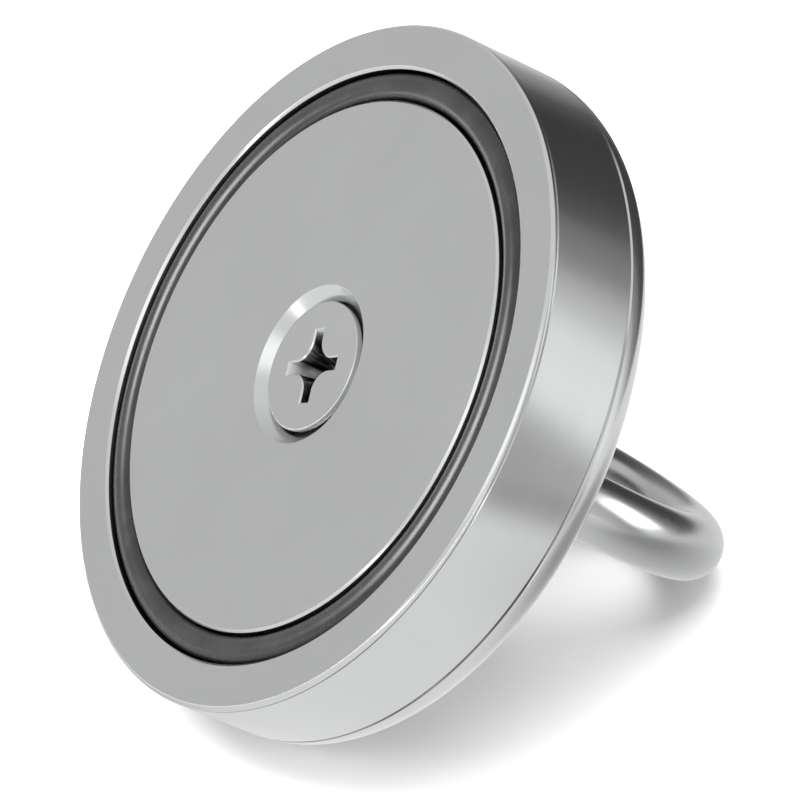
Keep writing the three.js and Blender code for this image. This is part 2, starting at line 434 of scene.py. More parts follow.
def plated_metal(name, colour, rough, grain=1.0, mottle=0.02, scratch=1.0):
    """Plated steel: a faint turned grain, hair scratches, a little mottling of colour and polish."""
    nodes = Nodes(name)
    nodes.set(Metallic=1.0)
    turning = nodes.turning_place(0.6)
    fine = nodes.noise(turning, TURNED_GRAIN, detail=3.0, rough=0.6)
    broad = nodes.noise(turning, TURNED_WAVES, detail=2.0, rough=0.5)
    cloud = nodes.noise(nodes.place, CLOUDS, detail=4.0, rough=0.55)
    speck = nodes.noise(nodes.place, SPECKS, detail=2.0, rough=0.5)
    grit = nodes.noise(nodes.place, GRIT, detail=3.0, rough=0.6)
    dark = [c * (1 - mottle) for c in colour]
    light = [min(1.0, c * (1 + mottle)) for c in colour]
    nodes.link(nodes.grey_ramp(cloud, dark, light), nodes.shader.inputs["Base Color"])
    stretched = nodes.vector("MULTIPLY", nodes.place, (0.06, 1.0, 1.0))
    hair = nodes.span(nodes.noise(stretched, HAIRS, detail=3.0, rough=0.7), 0.66, 0.74, 0.0, 1.0)
    cloudy = nodes.span(cloud, NOISE_LOW, NOISE_HIGH, rough * 0.88, rough * 1.12)
    worn = nodes.math("ADD", cloudy, nodes.math("MULTIPLY", hair, 0.05 * scratch))
    polish = nodes.math("ADD", worn, nodes.span(broad, NOISE_LOW, NOISE_HIGH, -0.015, 0.015))
    nodes.link(polish, nodes.shader.inputs["Roughness"])
    normal = nodes.bump(fine, 0.10 * grain, FINE_RELIEF)
    normal = nodes.bump(broad, 0.12 * grain, WAVE_RELIEF, normal)
    normal = nodes.bump(speck, 0.06, FINE_RELIEF, normal)
    normal = nodes.bump(grit, 0.16, GRIT_RELIEF, normal)
    normal = nodes.bump(hair, 0.12 * scratch, -FINE_RELIEF, normal)
    nodes.link(normal, nodes.shader.inputs["Normal"])
    return nodes


def lay_painted_shade(nodes, share, shade_colour):
    """Lays a painted shade colour over a material's own colour."""
    colour = nodes.shader.inputs["Base Color"]
    unshaded = colour.links[0].from_socket
    mix = nodes.tree.nodes.new("ShaderNodeMix")
    mix.data_type = "RGBA"
    nodes.link(share, mix.inputs[0])
    nodes.link(unshaded, mix.inputs[6])
    mix.inputs[7].default_value = shade_colour
    nodes.link(mix.outputs[2], colour)


def paint_recess_shade(nodes):
    """Painted shade in the screw's cross recess, below the head's face and before the thread."""
    split = nodes.tree.nodes.new("ShaderNodeSeparateXYZ")
    nodes.link(nodes.place, split.inputs[0])
    radius = nodes.vector("LENGTH", nodes.vector("MULTIPLY", nodes.place, (1, 1, 0)))
    depth = split.outputs["Z"]
    inside = nodes.span(radius, RECESS_REACH, RECESS_REACH + RECESS_SHADE_EDGE, 1.0, 0.0)
    sunk = nodes.span(depth, HEAD_FACE + RECESS_SHADE_START, HEAD_FACE + RECESS_SHADE_FULL, 0.0, 1.0)
    before_thread = nodes.span(depth, THREAD_START - 2.0 * MM, THREAD_START - 1.0 * MM, 1.0, 0.0)
    shade_mask = nodes.math("MULTIPLY", nodes.math("MULTIPLY", inside, sunk), before_thread)
    patches = nodes.span(nodes.noise(nodes.place, RECESS_SHADE_PATCHES), NOISE_LOW, NOISE_HIGH, 0.75, 0.95)
    lay_painted_shade(nodes, nodes.math("MULTIPLY", shade_mask, patches), RECESS_SHADE)
    return nodes


def paint_groove_shade(nodes):
    """Painted shade in the pot's two fine grooves, mostly on the side that lies down."""
    split = nodes.tree.nodes.new("ShaderNodeSeparateXYZ")
    nodes.link(nodes.place, split.inputs[0])
    radius = nodes.vector("LENGTH", nodes.vector("MULTIPLY", nodes.place, (1, 1, 0)))
    below_wall = nodes.math("SUBTRACT", POT_RADIUS, radius)
    sunk = nodes.span(below_wall, GROOVE_SHADE_START, LIP_GROOVE_DEPTH, 0.0, 1.0)
    on_wall = nodes.span(below_wall, GROOVE_SHADE_END, GROOVE_SHADE_END + GROOVE_SHADE_EDGE, 1.0, 0.0)
    front = GROOVE_SHADE_FRONT
    past_lip = nodes.span(split.outputs["Z"], front, front + GROOVE_SHADE_EDGE, 0.0, 1.0)
    before_round = nodes.span(split.outputs["Z"], WALL_END, WALL_END + GROOVE_SHADE_EDGE, 1.0, 0.0)
    across = nodes.math("MULTIPLY", sunk, on_wall)
    groove = nodes.math("MULTIPLY", across, nodes.math("MULTIPLY", past_lip, before_round))
    patchy = nodes.span(nodes.noise(nodes.place, GROOVE_SHADE_PATCHES, detail=3.0), 0.4, 0.6, 0.6, 1.0)
    lying_side = nodes.span(split.outputs["Y"], FAINT_SHADE_SIDE, DEEP_SHADE_SIDE, 0.1, 0.95)
    share = nodes.math("MULTIPLY", groove, nodes.math("MULTIPLY", patchy, lying_side))
    lay_painted_shade(nodes, share, GROOVE_SHADE)
    return nodes


def cast_black(name, colour, rough):
    """Smooth black rubber with a fine moulded skin and a little dust in its colour."""
    nodes = Nodes(name)
    nodes.set(Metallic=0.0)
    cloud = nodes.noise(nodes.place, RUBBER_DUST, detail=4.0, rough=0.6)
    skin = nodes.noise(nodes.place, RUBBER_SKIN, detail=2.0, rough=0.5)
    dark = [c * 0.75 for c in colour]
    light = [c * 1.3 for c in colour]
    polish = nodes.span(cloud, NOISE_LOW, NOISE_HIGH, rough * 0.85, rough * 1.15)
    nodes.link(nodes.grey_ramp(cloud, dark, light), nodes.shader.inputs["Base Color"])
    nodes.link(polish, nodes.shader.inputs["Roughness"])
    nodes.link(nodes.bump(skin, 0.25, RUBBER_RELIEF), nodes.shader.inputs["Normal"])
    return nodes


def sintered_metal(name, colour, rough):
    """Dull plate over sintered grain."""
    nodes = Nodes(name)
    nodes.set(Metallic=0.9)
    grain = nodes.noise(nodes.place, SINTER_GRAIN, detail=4.0, rough=0.65)
    cloud = nodes.noise(nodes.place, SINTER_CLOUDS, detail=3.0, rough=0.5)
    dark = [c * 0.85 for c in colour]
    light = [c * 1.1 for c in colour]
    polish = nodes.span(grain, NOISE_LOW, NOISE_HIGH, rough * 0.8, rough * 1.2)
    nodes.link(nodes.grey_ramp(cloud, dark, light), nodes.shader.inputs["Base Color"])
    nodes.link(polish, nodes.shader.inputs["Roughness"])
    nodes.link(nodes.bump(grain, 0.4, GRIT_RELIEF), nodes.shader.inputs["Normal"])
    return nodes


# The pot gets painted shade in its grooves
NICKEL = paint_groove_shade(
    plated_metal("nickel_pot", (0.64, 0.645, 0.65), 0.17, grain=1.0, mottle=0.015)
).material
SATIN_NICKEL = plated_metal("nickel_plate", (0.645, 0.65, 0.655), 0.21, grain=0.6, mottle=0.02).material
# The screw gets painted shade in its cross recess
SCREW_NICKEL = paint_recess_shade(
    plated_metal("nickel_screw", (0.66, 0.665, 0.67), 0.2, grain=0.7, mottle=0.03)
).material
CHROME = plated_metal("chrome_eye", (0.50, 0.505, 0.51), 0.25, grain=0.0, mottle=0.03, scratch=0.6).material
ZINC = plated_metal("zinc_washers", (0.60, 0.605, 0.61), 0.3, grain=1.6, mottle=0.04).material
RUBBER = cast_black("black_rubber", (0.009, 0.009, 0.0095), 0.27).material
MAGNET = sintered_metal("sintered_magnet", (0.52, 0.525, 0.53), 0.42).material
BRASS = plated_metal("turned_brass", (0.68, 0.50, 0.22), 0.28, grain=1.5, mottle=0.05).material


# ---- Pieces ----

def pot_outline():
    lip = POT_FRONT_CHAMFER + LIP_SPACE
    return [
        *rounded([
            (BORE_RADIUS, POCKET_FLOOR, 0),
            (POCKET_RADIUS, POCKET_FLOOR, SMALL_ROUND),
            (POCKET_RADIUS, POT_MOUTH_CHAMFER, SMALL_ROUND),
            (POCKET_RADIUS + POT_MOUTH_CHAMFER, POT_FRONT, SMALL_ROUND),
            (POT_RADIUS - POT_FRONT_CHAMFER, POT_FRONT, LIP_ROUND),
            (POT_RADIUS, POT_FRONT_CHAMFER, LIP_ROUND),
            (POT_RADIUS, lip, 0),
            (POT_RADIUS - LIP_GROOVE_DEPTH, lip + LIP_GROOVE_STEEP, 0),
            (POT_RADIUS, lip + LIP_GROOVE_WIDTH, 0),
            (POT_RADIUS, WALL_END - BACK_GROOVE_WIDTH, 0),
            (POT_RADIUS - BACK_GROOVE_DEPTH, WALL_END - BACK_GROOVE_WIDTH / 2, 0),
        ], closed=False),
        *arc(POT_RADIUS - POT_BACK_ROUND, WALL_END, POT_BACK_ROUND, 0, math.pi / 2, BACK_ROUND_STEPS),
        *rounded([
            (POT_RADIUS - POT_BACK_ROUND - BACK_FLAT_EDGE, POT_BACK, 0),
            (BORE_RADIUS, POT_BACK, SMALL_ROUND),
            (BORE_RADIUS, POCKET_FLOOR, 0),
        ], closed=False)[:-1],
    ]


def make_pot():
    mesh = turned("pot", pot_outline())
    even_shading(piece("pot", mesh, "pot", NICKEL, ["steel_pot"], POT_SHARP_DEG))


def make_plate():
    outline = rounded([
        (COUNTERSINK_RADIUS, PLATE_FRONT, COUNTERSINK_ROUND),
        (PLATE_RADIUS - PLATE_CHAMFER, PLATE_FRONT, SMALL_ROUND),
        (PLATE_RADIUS, PLATE_FRONT + PLATE_CHAMFER, SMALL_ROUND),
        (PLATE_RADIUS, PLATE_BACK, SMALL_ROUND),
        (BORE_RADIUS, PLATE_BACK, 0),
        (BORE_RADIUS, PLATE_BACK - PLATE_BORE_LAND, 0),
    ])
    mesh = turned("plate", outline)
    even_shading(piece("plate", mesh, "pot", SATIN_NICKEL, ["pole_plate"]))


def make_gap_ring():
    middle = (RING_INNER + RING_OUTER) / 2
    half = (RING_OUTER - RING_INNER) / 2
    shoulder = RING_FRONT + RING_CROWN
    crown = []
    for k in range(CROWN_STEPS + 1):
        angle = math.pi + math.pi * k / CROWN_STEPS
        crown.append((middle + half * math.cos(angle), shoulder + RING_CROWN * math.sin(angle)))
    outline = [*crown, (RING_OUTER, RING_BACK), (RING_INNER, RING_BACK)]
    mesh = turned("black_ring", outline)
    return even_shading(piece("black_ring", mesh, "pot", RUBBER, ["gap_ring"]))


def recess_outline(span, width, corner):
    """Outline of the cross, with an inward round in each inner corner."""
    points = []
    for quarter in range(4):
        turn = Matrix.Rotation(quarter * math.pi / 2, 2)
        wing = [Vector((span, -width)), Vector((span, width))]
        centre = Vector((width + corner, width + corner))
        for step in range(CORNER_STEPS + 1):
            angle = -math.pi / 2 - (math.pi / 2) * step / CORNER_STEPS
            wing.append(centre + corner * Vector((math.cos(angle), math.sin(angle))))
        points.extend(turn @ point for point in wing)
    return points


def recess_cutter():
    """The cross recess as a closed mesh, lofted from in front of the head's face to its point."""
    mesh = bpy.data.meshes.new("recess_cutter")
    work = bmesh.new()
    rings = []
    for depth, span, width, corner in RECESS_LEVELS:
        outline = recess_outline(span, width, corner)
        rings.append([work.verts.new((*point, HEAD_FACE + depth)) for point in outline])
    for front, back in zip(rings, rings[1:]):
        for index, corner in enumerate(front):
            following = (index + 1) % len(front)
            work.faces.new((corner, front[following], back[following], back[index]))
    work.faces.new(rings[0][::-1])
    point = work.verts.new((0, 0, HEAD_FACE + RECESS_LEVELS[-1][0] + RECESS_POINT))
    last = rings[-1]
    for index, corner in enumerate(last):
        work.faces.new((corner, last[(index + 1) % len(last)], point))
    bmesh.ops.rotate(work, verts=work.verts, matrix=Matrix.Rotation(RECESS_TURN, 3, "Z"))
    bmesh.ops.recalc_face_normals(work, faces=work.faces)
    work.to_mesh(mesh)
    work.free()
    return mesh


def thread_radius(z, turn_fraction):
    """Radius of the screw's thread at a height and a share of a turn."""
    phase = (z / THREAD_PITCH - turn_fraction) % 1.0
    flank = (1 - THREAD_CREST - THREAD_FOOT) / 2
    if phase < THREAD_CREST:
        height = 1.0
    elif phase < THREAD_CREST + flank:
        height = 1 - (phase - THREAD_CREST) / flank
    elif phase < THREAD_CREST + flank + THREAD_FOOT:
        height = 0.0
    else:
        height = (phase - THREAD_CREST - flank - THREAD_FOOT) / flank
    fade_in = min(1.0, max(0.0, (z - THREAD_START) / THREAD_RUN_OUT))
    tip = max(0.0, z - (SCREW_TIP - SCREW_TIP_CHAMFER))
    full = SCREW_RADIUS - THREAD_DEPTH * (1 - height) * fade_in
    return min(full, SCREW_RADIUS - tip)


def screw_blank():
    """The screw without its recess: the head's outline, then rows of points that follow the thread."""
    steps = SCREW_STEPS
    cone_reach = PLATE_FRONT + COUNTERSINK_RADIUS - CLEARANCE * math.sqrt(2)
    land_end = cone_reach - HEAD_RADIUS
    neck = cone_reach - SCREW_RADIUS
    head = rounded([
        (0, HEAD_FACE, 0),
        (HEAD_RADIUS, HEAD_FACE, SCREW_HEAD_CHAMFER),
        (HEAD_RADIUS, land_end, SMALL_ROUND),
        (SCREW_RADIUS, neck, 0),
    ], closed=False)
    mesh = bpy.data.meshes.new("screw")
    work = bmesh.new()
    # The outline's first point, on the axis, only gives the head's edge its round
    rows = [[(radius, z)] * steps for radius, z in head[1:]]
    z = neck + THREAD_STEP
    while z < SCREW_TIP - WELD_DISTANCE:
        rows.append([(thread_radius(z, k / steps), z) for k in range(steps)])
        z += THREAD_STEP
    rows.append([(thread_radius(SCREW_TIP, k / steps), SCREW_TIP) for k in range(steps)])
    rings = []
    for row in rows:
        ring = []
        for k, (radius, height) in enumerate(row):
            angle = 2 * math.pi * k / steps
            ring.append(work.verts.new((radius * math.cos(angle), radius * math.sin(angle), height)))
        rings.append(ring)
    for front, back in zip(rings, rings[1:]):
        for k in range(steps):
            following = (k + 1) % steps
            work.faces.new((front[k], front[following], back[following], back[k]))
    work.faces.new(rings[0][::-1])
    work.faces.new(rings[-1])
    bmesh.ops.recalc_face_normals(work, faces=work.faces)
    work.to_mesh(mesh)
    work.free()
    return mesh


def cut_recess(mesh):
    """A copy of the screw's mesh with the cross recess cut out."""
    blank = bpy.data.objects.new("screw_blank", mesh)
    cutter = bpy.data.objects.new("recess_cutter", recess_cutter())
    for obj in (blank, cutter):
        bpy.context.scene.collection.objects.link(obj)
    cut = blank.modifiers.new("recess", "BOOLEAN")
    cut.operation = "DIFFERENCE"
    cut.solver = "EXACT"
    cut.object = cutter
    graph = bpy.context.evaluated_depsgraph_get()
    result = bpy.data.meshes.new_from_object(blank.evaluated_get(graph))
    for obj in (blank, cutter):
        bpy.data.objects.remove(obj)
    return result


def make_screw():
    mesh = cut_recess(screw_blank())
    screw = piece(
        "screw", mesh, "screw", SCREW_NICKEL, ["countersunk_screw"], SCREW_SHARP_DEG
    )
    even_shading(screw)


def make_flat_washer():
    outline = rounded([
        (BORE_RADIUS, WASHER_FRONT, SMALL_ROUND),
        (WASHER_RADIUS, WASHER_FRONT, SMALL_ROUND),
        (WASHER_RADIUS, WASHER_BACK, WASHER_ROUND),
        (BORE_RADIUS, WASHER_BACK, SMALL_ROUND),
    ])
    mesh = turned("flat_washer_fine", outline, WASHER_STEPS)
    even_shading(piece("flat_washer_fine", mesh, "washers", ZINC, ["flat_washer"]))


def make_spring_washer():
    """A split ring of rounded square wire, pressed flat."""
    section = rounded([
        (BORE_RADIUS, SPRING_FRONT, SPRING_WASHER_ROUND),
        (SPRING_RADIUS, SPRING_FRONT, SPRING_WASHER_ROUND),
        (SPRING_RADIUS, SPRING_BACK, SPRING_WASHER_ROUND),
        (BORE_RADIUS, SPRING_BACK, SPRING_WASHER_ROUND),
    ])
    steps = SPRING_WASHER_STEPS
    mesh = bpy.data.meshes.new("spring_washer_fine")
    work = bmesh.new()
    rings = []
    for step in range(steps + 1):
        share = 2 * step / steps - 1
        ring = []
        for radius, z in section:
            angle = share * (math.pi - math.asin(SPRING_WASHER_SPLIT / 2 / radius))
            ring.append(work.verts.new((radius * math.cos(angle), radius * math.sin(angle), z)))
        rings.append(ring)
    for here, there in zip(rings, rings[1:]):
        for index in range(len(section)):
            following = (index + 1) % len(section)
            work.faces.new((here[index], there[index], there[following], here[following]))
    work.faces.new(rings[0])
    work.faces.new(rings[-1][::-1])
    work.to_mesh(mesh)
    work.free()
    even_shading(piece("spring_washer_fine", mesh, "washers", ZINC, ["spring_washer"]))


def smooth_min(a, b, blend):
    """The lesser of two distances, with a fillet where they cross."""
    share = np.clip(0.5 + 0.5 * (b - a) / blend, 0, 1)
    return b + (a - b) * share - blend * share * (1 - share)


def rounded_disc(radius, z, outer, front, back, round_size):
    """Signed distance to a round disc with rounded edges."""
    across = radius - (outer - round_size)
    along = np.abs(z - (front + back) / 2) - ((back - front) / 2 - round_size)
    outside = np.hypot(np.maximum(across, 0), np.maximum(along, 0))
    return outside + np.minimum(np.maximum(across, along), 0) - round_size


def eye_distance(points):
    """Signed distance to the forged eye nut: a wire ring flowing into a collar with a hole."""
    x, y, z = points[:, 0], points[:, 1], points[:, 2]
    radius = np.hypot(x, y)
    from_ring = np.hypot(np.hypot(x, z - EYE_CENTRE) - EYE_RADIUS, y) - EYE_WIRE_RADIUS
    collar = rounded_disc(radius, z, COLLAR_RADIUS, COLLAR_FRONT, COLLAR_FRONT + COLLAR_RIM, COLLAR_ROUND)
    neck = rounded_disc(radius, z, NECK_RADIUS, COLLAR_FRONT + NECK_SINK, NECK_BACK, NECK_ROUND)
    hub = smooth_min(collar, neck, HUB_BLEND)
    body = smooth_min(from_ring, hub, RING_BLEND)
    hole = np.minimum(BORE_RADIUS - radius, EYE_CENTRE - z)
    return -smooth_min(-body, -hole, HOLE_BLEND)


def eye_gradient(points):
    """Slope of the signed distance at each point, by central differences."""
    gradient = np.empty_like(points)
    for axis in range(3):
        step = np.zeros(3)
        step[axis] = GRADIENT_REACH
        rise = eye_distance(points + step) - eye_distance(points - step)
        gradient[:, axis] = rise / (2 * GRADIENT_REACH)
    return gradient


def hub_part(name, outline):
    """A turned helper solid of the eye nut's hub."""
    mesh = turned(name, outline, HOLE_STEPS)
    finish_mesh(mesh, HUB_SHARP_DEG)
    obj = bpy.data.objects.new(name, mesh)
    bpy.context.scene.collection.objects.link(obj)
    return obj


def eye_blank():
    """A rough closed mesh of the eye nut, only to give the fine surface its faces."""
    bpy.ops.mesh.primitive_torus_add(
        major_radius=EYE_RADIUS, minor_radius=EYE_WIRE_RADIUS,
        major_segments=TORUS_STEPS, minor_segments=TORUS_SECTION_STEPS,
        location=(0, 0, EYE_CENTRE), rotation=(math.pi / 2, 0, 0))
    ring = bpy.context.object
    collar_back = COLLAR_FRONT + COLLAR_RIM
    collar = hub_part("collar", [
        (0, COLLAR_FRONT),
        (COLLAR_RADIUS, COLLAR_FRONT),
        (COLLAR_RADIUS, collar_back),
        (NECK_RADIUS + NECK_FLARE, collar_back + NECK_FLARE_HEIGHT),
        (NECK_RADIUS, NECK_BACK),
        (0, NECK_BACK),
    ])
    hole_front = COLLAR_FRONT - HOLE_OVERRUN
    hole = hub_part("hole", [
        (0, hole_front),
        (BORE_RADIUS, hole_front),
        (BORE_RADIUS, EYE_CENTRE),
        (0, EYE_CENTRE),
    ])
    for tool, operation in ((collar, "UNION"), (hole, "DIFFERENCE")):
        join = ring.modifiers.new(operation, "BOOLEAN")
        join.operation = operation
        join.solver = "EXACT"
        join.object = tool
    remesh = ring.modifiers.new("even_faces", "REMESH")
    remesh.mode = "VOXEL"
    remesh.voxel_size = EYE_VOXEL
    bpy.context.view_layer.update()
    graph = bpy.context.evaluated_depsgraph_get()
    mesh = bpy.data.meshes.new_from_object(ring.evaluated_get(graph))
    mesh.transform(ring.matrix_world)
    for obj in (ring, collar, hole):
        bpy.data.objects.remove(obj)
    return mesh


def make_eye():
    mesh = eye_blank()
    points = np.empty(len(mesh.vertices) * 3)
    mesh.vertices.foreach_get("co", points)
    points = points.reshape(-1, 3)
    for _ in range(EYE_FITTING_ROUNDS):
        gradient = eye_gradient(points)
        length = np.maximum((gradient ** 2).sum(1), LEAST_SLOPE)
        points -= FITTING_STEP * gradient * (eye_distance(points) / length)[:, None]
    mesh.vertices.foreach_set("co", points.ravel())
    normals = eye_gradient(points)
    normals /= np.linalg.norm(normals, axis=1)[:, None]
    normals = normals @ np.array(LOCAL.to_3x3()).T
    obj = piece("eye", mesh, "eye", CHROME, ["eye_nut"], EYE_SHARP_DEG)
    obj.data.normals_split_custom_set_from_vertices([tuple(n) for n in normals])
    return obj


def finish_carried_nodes():
    """The inner pieces keep their CAD shape and get their own materials."""
    looks = {"spacer_sleeve": BRASS}
    for name in frame["nodes"]:
        if name.startswith("magnet_segment"):
            looks[name] = MAGNET
    for name, material in looks.items():
        mesh = frame["nodes"][name].data
        mesh.materials.clear()
        mesh.materials.append(material)


# ---- Camera, floor and light ----

CAMERA_AZIMUTH_DEG = 66.23
CAMERA_ELEVATION_DEG = 27.87
CAMERA_ROLL_DEG = -7.63
CAMERA_DISTANCE = 0.9
CAMERA_LENS = 327.6
AIM_RIGHT = 11.51 * MM
AIM_UP = -4.53 * MM


def direction(azimuth_deg, elevation_deg):
    """Unit vector away from the object. Azimuth 0 looks from the front and grows towards +X."""
    azimuth = math.radians(azimuth_deg)
    elevation = math.radians(elevation_deg)
    return Vector((
        math.sin(azimuth) * math.cos(elevation),
        -math.cos(azimuth) * math.cos(elevation),
        math.sin(elevation),
    ))


def make_camera():
    away = direction(CAMERA_AZIMUTH_DEG, CAMERA_ELEVATION_DEG)
    azimuth = math.radians(CAMERA_AZIMUTH_DEG)
    level_right = Vector((math.cos(azimuth), math.sin(azimuth), 0))
    right = Matrix.Rotation(math.radians(CAMERA_ROLL_DEG), 3, away) @ level_right
    up = away.cross(right)
    data = bpy.data.cameras.new("camera")
    data.lens = CAMERA_LENS
    data.sensor_width = 36.0
    data.clip_end = 20.0
    camera = bpy.data.objects.new("camera", data)
    bpy.context.scene.collection.objects.link(camera)
    matrix = Matrix((right, up, away)).transposed().to_4x4()
    face_centre = LOCAL.translation
    matrix.translation = face_centre + right * AIM_RIGHT + up * AIM_UP + away * CAMERA_DISTANCE
    camera.matrix_world = matrix
    bpy.context.scene.camera = camera


FLOOR_HALF = 6.0
FLOOR_CLOUDS = 60.0


def rectangle(x, y):
    """Corners of a flat rectangle about the origin, from its half width and half height."""
    return [(-x, -y, 0), (x, -y, 0), (x, y, 0), (-x, y, 0)]


def make_floor():
    nodes = Nodes("pale_floor")
    grain = nodes.noise(nodes.place, FLOOR_CLOUDS, detail=3.0, rough=0.5)
    pale = nodes.grey_ramp(grain, (0.90, 0.90, 0.90), (0.92, 0.92, 0.92))
    nodes.link(pale, nodes.shader.inputs["Base Color"])
    nodes.set(Roughness=0.9)
    nodes.shader.inputs["Specular IOR Level"].default_value = 0.0
    mesh = bpy.data.meshes.new("floor")
    mesh.from_pydata(rectangle(FLOOR_HALF, FLOOR_HALF), [], [(0, 1, 2, 3)])
    mesh.materials.append(nodes.material)
    floor = bpy.data.objects.new("floor", mesh)
    bpy.context.scene.collection.objects.link(floor)


# The studio tent's brightness, and its dimmer part: where it lies, how far it reaches, how bright it is
TENT_LEVEL = 0.87
DIM_AZIMUTH_DEG = -58
DIM_ELEVATION_DEG = 15
DIM_FULL_DEG = 38
DIM_GONE_DEG = 75
DIM_LEVEL = 0.665


def make_world():
    """A white studio tent, dimmer where the holding face mirrors it to the camera."""
    world = bpy.data.worlds.new("tent")
    bpy.context.scene.world = world
    world.use_nodes = True
    tree = world.node_tree
    background = tree.nodes["Background"]
    nearness = tree.nodes.new("ShaderNodeVectorMath")
    nearness.operation = "DOT_PRODUCT"
    tree.links.new(tree.nodes.new("ShaderNodeTexCoord").outputs["Generated"], nearness.inputs[0])
    nearness.inputs[1].default_value = direction(DIM_AZIMUTH_DEG, DIM_ELEVATION_DEG)
    level = tree.nodes.new("ShaderNodeMapRange")
    level.interpolation_type = "SMOOTHSTEP"
    tree.links.new(nearness.outputs["Value"], level.inputs["Value"])
    level.inputs["From Min"].default_value = math.cos(math.radians(DIM_GONE_DEG))
    level.inputs["From Max"].default_value = math.cos(math.radians(DIM_FULL_DEG))
    level.inputs["To Min"].default_value = TENT_LEVEL
    level.inputs["To Max"].default_value = DIM_LEVEL
    tree.links.new(level.outputs["Result"], background.inputs["Color"])
    background.inputs["Strength"].default_value = 1.0


# The curtain behind the object. Each stop is an angle from straight behind, positive to the +X side, and
# how bright the curtain is there. Its dark, grey and bright stretches give the plated wall its bands.
CURTAIN_RADIUS = 0.16
CURTAIN_HEIGHT = 0.24
CURTAIN_LEVEL = 1.2
CURTAIN_STEPS = 96
CURTAIN_TOP_FADE = 0.78
CURTAIN_LEFT_FADE_DEG = 10
CURTAIN_RIGHT_FADE_DEG = 6
CURTAIN_STOPS = [
    (-66, 0.80), (-53, 0.58), (-43, 0.26), (-33, 0.08),
    (-26, 0.045), (-4, 0.055), (8, 0.09), (14, 0.20),
    (22, 0.245), (33, 0.57), (43, 0.89), (55, 0.96),
    (63, 0.44), (69, 0.40), (80, 0.60), (95, 0.80),
]

# The soft card: azimuth, elevation, distance, width, height, level, soft edge
KEY_CARD = (40, 42, 0.8, 0.9, 0.8, 1.45, 0.3)
CARD_LIFT = 0.045

DISC_STEPS = 64

# Discs that lie just over the floor: centre x and y, radius, height over the floor, level, soft edge
FLOOR_DISCS = {
    "bright_floor": (0, 0, 0.40, 0.2 * MM, 0.97, 0.06),
    "low_flag": (0.130, 0.042, 0.042, 0.6 * MM, 0.42, 0.032),
    "eye_flag": (0.055, 0.036, 0.052, 0.4 * MM, 0.42, 0.042),
    "contact_flag": (-0.012, -0.036, 0.036, 0.3 * MM, 0.68, 0.034),
}


def glow_material(name):
    """A glow with soft edges. Returns the material, its tree, its mask socket and its glow node."""
    material = bpy.data.materials.new(name)
    material.use_nodes = True
    tree = material.node_tree
    tree.nodes.clear()
    glow = tree.nodes.new("ShaderNodeEmission")
    clear = tree.nodes.new("ShaderNodeBsdfTransparent")
    mix = tree.nodes.new("ShaderNodeMixShader")
    output = tree.nodes.new("ShaderNodeOutputMaterial")
    tree.links.new(clear.outputs[0], mix.inputs[1])
    tree.links.new(glow.outputs[0], mix.inputs[2])
    tree.links.new(mix.outputs[0], output.inputs["Surface"])
    material.cycles.emission_sampling = "NONE"
    return material, tree, mix.inputs["Fac"], glow


def soft_edge(tree, value, full, gone):
    """A mask that is 1 where a value is at full and 0 where it is gone."""
    mask = tree.nodes.new("ShaderNodeMapRange")
    mask.interpolation_type = "SMOOTHSTEP"
    tree.links.new(value, mask.inputs["Value"])
    mask.inputs["From Min"].default_value = full
    mask.inputs["From Max"].default_value = gone
    mask.inputs["To Min"].default_value = 1.0
    mask.inputs["To Max"].default_value = 0.0
    return mask.outputs["Result"]


def shader_math(tree, operation, a, b=None):
    node = tree.nodes.new("ShaderNodeMath")
    node.operation = operation
    tree.links.new(a, node.inputs[0])
    if b is not None:
        tree.links.new(b, node.inputs[1])
    return node.outputs[0]


def only_in_reflections(obj):
    obj.visible_camera = False
    obj.visible_diffuse = False
    obj.visible_shadow = False
    obj.visible_transmission = False


def make_curtain():
    first, last = CURTAIN_STOPS[0][0], CURTAIN_STOPS[-1][0]
    material, tree, mask_socket, glow = glow_material("curtain")
    split = tree.nodes.new("ShaderNodeSeparateXYZ")
    tree.links.new(tree.nodes.new("ShaderNodeTexCoord").outputs["Object"], split.inputs[0])
    angle = shader_math(tree, "ARCTAN2", split.outputs["X"], split.outputs["Y"])
    share = tree.nodes.new("ShaderNodeMapRange")
    tree.links.new(angle, share.inputs["Value"])
    share.inputs["From Min"].default_value = math.radians(first)
    share.inputs["From Max"].default_value = math.radians(last)
    ramp = tree.nodes.new("ShaderNodeValToRGB")
    ramp.color_ramp.interpolation = "EASE"
    tree.links.new(share.outputs["Result"], ramp.inputs["Fac"])
    stops = ramp.color_ramp.elements
    for degrees, _ in CURTAIN_STOPS[1:-1]:
        stops.new((degrees - first) / (last - first))
    for stop, (_, level) in zip(stops, CURTAIN_STOPS):
        stop.color = (level, level, level, 1)
    tree.links.new(ramp.outputs["Color"], glow.inputs["Color"])
    glow.inputs["Strength"].default_value = CURTAIN_LEVEL
    top = soft_edge(tree, split.outputs["Z"], CURTAIN_HEIGHT * CURTAIN_TOP_FADE, CURTAIN_HEIGHT)
    left = soft_edge(tree, angle, math.radians(first + CURTAIN_LEFT_FADE_DEG), math.radians(first))
    right = soft_edge(tree, angle, math.radians(last - CURTAIN_RIGHT_FADE_DEG), math.radians(last))
    sides = shader_math(tree, "MULTIPLY", left, right)
    tree.links.new(shader_math(tree, "MULTIPLY", top, sides), mask_socket)
    corners = []
    for step in range(CURTAIN_STEPS + 1):
        turn = math.radians(first + (last - first) * step / CURTAIN_STEPS)
        x, y = CURTAIN_RADIUS * math.sin(turn), CURTAIN_RADIUS * math.cos(turn)
        corners += [(x, y, 0), (x, y, CURTAIN_HEIGHT)]
    faces = [(2 * k, 2 * k + 2, 2 * k + 3, 2 * k + 1) for k in range(CURTAIN_STEPS)]
    mesh = bpy.data.meshes.new("curtain")
    mesh.from_pydata(corners, [], faces)
    mesh.materials.append(material)
    curtain = bpy.data.objects.new("curtain", mesh)
    bpy.context.scene.collection.objects.link(curtain)
    only_in_reflections(curtain)


